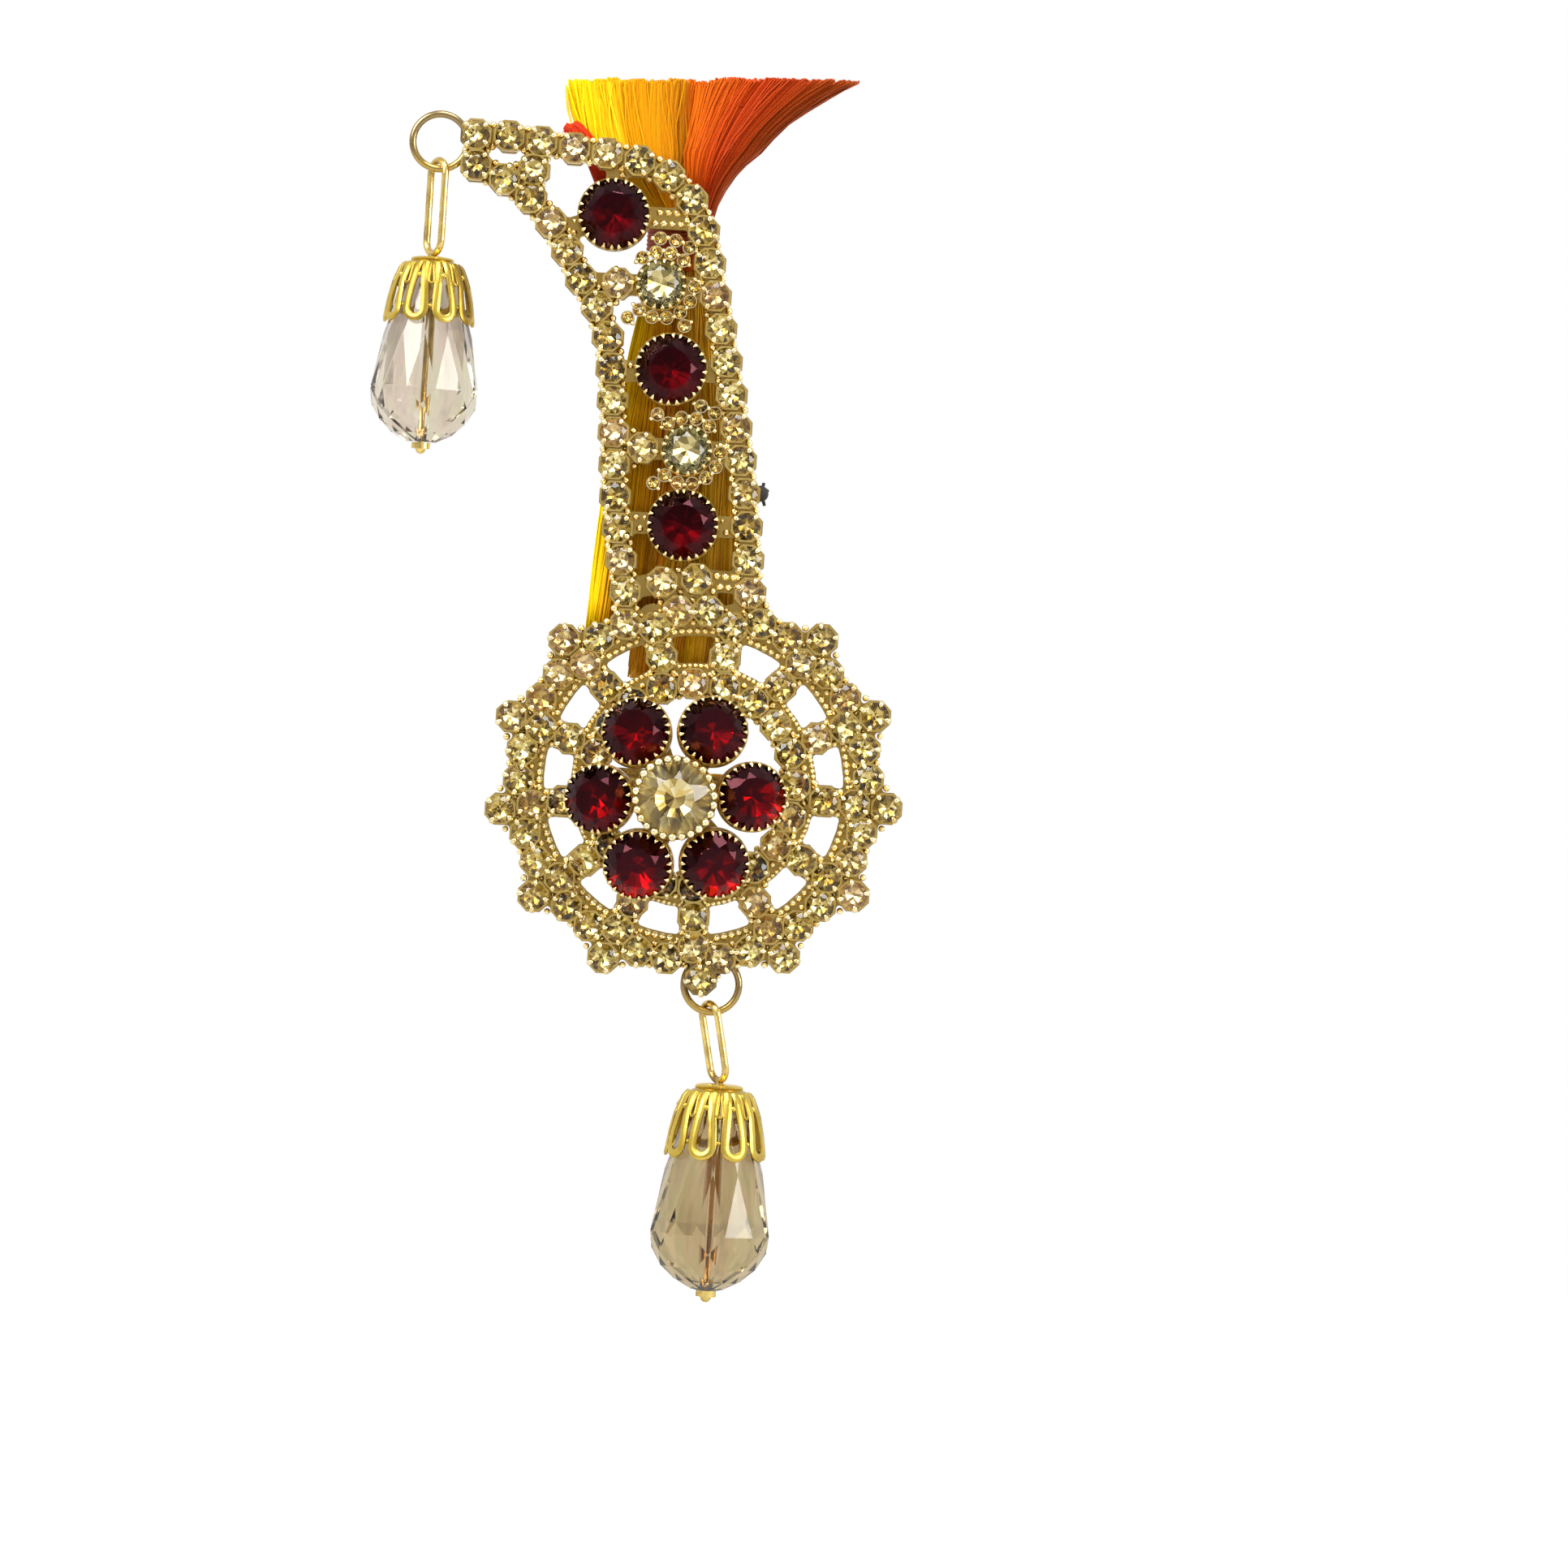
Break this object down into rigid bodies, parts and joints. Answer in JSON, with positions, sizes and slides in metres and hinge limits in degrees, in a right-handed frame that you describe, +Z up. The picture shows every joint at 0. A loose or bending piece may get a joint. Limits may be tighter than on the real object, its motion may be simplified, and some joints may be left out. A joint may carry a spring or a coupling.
{
  "type": "turban ornament",
  "caption": "Turban brooch with a lobed open-work medallion, a red stone flower, a swan-neck stem of stones, two hanging crystal drops and a silk plume.",
  "frame": {"origin": "where the ornament pins on: the middle of the medallion's flat back", "axes": "+Z up along the stem as worn, the stones face -Y, the brooch pin is on +Y and runs along X"},
  "size_m": [0.0617, 0.0209, 0.137],
  "materials": {
    "gold_plate": "bright gold plating on cast brass, slightly uneven",
    "setting_gold": "polished gold-plated toothed cups",
    "drop_gold": "bright yellow gold plating",
    "champagne_stone": "cut glass with a gold foil back",
    "red_stone": "cut garnet-red glass with a foil back",
    "crystal": "clear cut crystal with a faint pink tint",
    "steel_pin": "plain plated steel wire and bar",
    "yellow_silk": "glossy dyed silk strands",
    "orange_silk": "glossy dyed silk strands, darker at the edge",
    "red_thread": "wound silk thread",
    "black_thread": "knotted cotton thread"
  },
  "bodies": {
    "ornament": {"frame": "gold_plate", "rim_stones": "champagne_stone", "spoke_stones": "champagne_stone", "ring_stones": "champagne_stone", "inner_border_stones": "champagne_stone", "outer_border_stones": "champagne_stone", "bridge_stones": "champagne_stone", "red_stone_1": "red_stone", "red_setting_1": "setting_gold", "red_stone_2": "red_stone", "red_setting_2": "setting_gold", "red_stone_3": "red_stone", "red_setting_3": "setting_gold", "clear_stone_1": "champagne_stone", "clear_setting_1": "setting_gold", "clear_stone_2": "champagne_stone", "clear_setting_2": "setting_gold", "petal_stone_1": "red_stone", "petal_setting_1": "setting_gold", "petal_stone_2": "red_stone", "petal_setting_2": "setting_gold", "petal_stone_3": "red_stone", "petal_setting_3": "setting_gold", "petal_stone_4": "red_stone", "petal_setting_4": "setting_gold", "petal_stone_5": "red_stone", "petal_setting_5": "setting_gold", "petal_stone_6": "red_stone", "petal_setting_6": "setting_gold", "flower_plate": "gold_plate", "centre_stone": "champagne_stone", "centre_setting": "setting_gold", "brooch_pin": "steel_pin", "thread_knot": "black_thread", "plume_yellow": "yellow_silk", "plume_orange": "orange_silk", "plume_tie": "red_thread"},
    "beak_drop": {"beak_pin": "drop_gold", "beak_cap": "drop_gold", "beak_crystal": "crystal"},
    "base_drop": {"base_pin": "drop_gold", "base_cap": "drop_gold", "base_crystal": "crystal"}
  },
  "joints": [
    {"name": "beak_drop_swing", "type": "hinge", "parent": "ornament", "child": "beak_drop", "pos_m": [-0.0326, -0.0005, 0.06635], "axis": [1, 0, 0], "range_deg": [-70, 70]},
    {"name": "base_drop_swing", "type": "hinge", "parent": "ornament", "child": "base_drop", "pos_m": [0.0034, -0.0005, -0.02495], "axis": [1, 0, 0], "range_deg": [-70, 70]}
  ]
}
